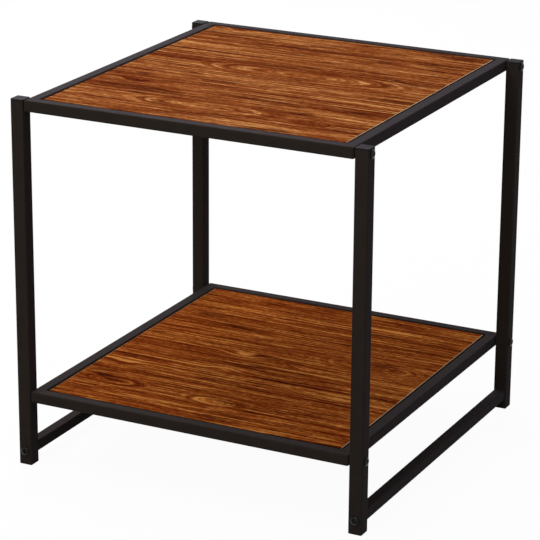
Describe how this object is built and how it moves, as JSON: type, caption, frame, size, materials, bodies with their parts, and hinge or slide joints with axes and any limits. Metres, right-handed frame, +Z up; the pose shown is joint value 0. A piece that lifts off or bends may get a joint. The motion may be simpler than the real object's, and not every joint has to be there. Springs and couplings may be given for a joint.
{
  "type": "end table with shelf",
  "caption": "Square end table: slim black steel tube frame with bolted legs, a wood-grain board on top and a matching low shelf board.",
  "frame": {"origin": "on the floor, under the middle of the table", "axes": "+X to the right along the frames' wood grain, +Y to the back, +Z up"},
  "size_m": [0.4052, 0.4052, 0.4],
  "materials": {
    "black_powder_coat": "fine-textured satin black powder coat on mild steel tube and sheet",
    "black_bolt": "black-coated steel cross-recess machine bolts, satin",
    "black_plastic": "moulded black plastic, fine matte texture",
    "wood_laminate": "warm red-brown wood-grain laminate on fibreboard, satin, grain running left to right",
    "zinc_steel": "bright zinc plate on steel rivet nuts and screws"
  },
  "bodies": {
    "root": {"front_left_leg": "black_powder_coat", "front_left_leg_cap": "black_plastic", "front_left_foot_plug": "black_plastic", "front_left_stretcher_bolt": "black_bolt", "front_right_leg": "black_powder_coat", "front_right_leg_cap": "black_plastic", "front_right_foot_plug": "black_plastic", "front_right_stretcher_bolt": "black_bolt", "rear_left_leg": "black_powder_coat", "rear_left_leg_cap": "black_plastic", "rear_left_foot_plug": "black_plastic", "rear_left_stretcher_bolt": "black_bolt", "rear_right_leg": "black_powder_coat", "rear_right_leg_cap": "black_plastic", "rear_right_foot_plug": "black_plastic", "rear_right_stretcher_bolt": "black_bolt", "top_frame_front_rail": "black_powder_coat", "top_frame_right_rail": "black_powder_coat", "top_frame_rear_rail": "black_powder_coat", "top_frame_left_rail": "black_powder_coat", "top_board": "wood_laminate", "top_front_left_frame_bolt": "black_bolt", "top_front_left_rivet_nut": "zinc_steel", "top_front_left_board_tab": "black_powder_coat", "top_front_right_frame_bolt": "black_bolt", "top_front_right_rivet_nut": "zinc_steel", "top_front_right_board_tab": "black_powder_coat", "top_rear_left_frame_bolt": "black_bolt", "top_rear_left_rivet_nut": "zinc_steel", "top_rear_left_board_tab": "black_powder_coat", "top_rear_right_frame_bolt": "black_bolt", "top_rear_right_rivet_nut": "zinc_steel", "top_rear_right_board_tab": "black_powder_coat", "top_board_screws": "zinc_steel", "shelf_frame_front_rail": "black_powder_coat", "shelf_frame_right_rail": "black_powder_coat", "shelf_frame_rear_rail": "black_powder_coat", "shelf_frame_left_rail": "black_powder_coat", "shelf_board": "wood_laminate", "shelf_front_left_frame_bolt": "black_bolt", "shelf_front_left_rivet_nut": "zinc_steel", "shelf_front_left_board_tab": "black_powder_coat", "shelf_front_right_frame_bolt": "black_bolt", "shelf_front_right_rivet_nut": "zinc_steel", "shelf_front_right_board_tab": "black_powder_coat", "shelf_rear_left_frame_bolt": "black_bolt", "shelf_rear_left_rivet_nut": "zinc_steel", "shelf_rear_left_board_tab": "black_powder_coat", "shelf_rear_right_frame_bolt": "black_bolt", "shelf_rear_right_rivet_nut": "zinc_steel", "shelf_rear_right_board_tab": "black_powder_coat", "shelf_board_screws": "zinc_steel", "left_stretcher": "black_powder_coat", "left_stretcher_front_end_plug": "black_plastic", "left_stretcher_rear_end_plug": "black_plastic", "right_stretcher": "black_powder_coat", "right_stretcher_front_end_plug": "black_plastic", "right_stretcher_rear_end_plug": "black_plastic"}
  },
  "joints": []
}
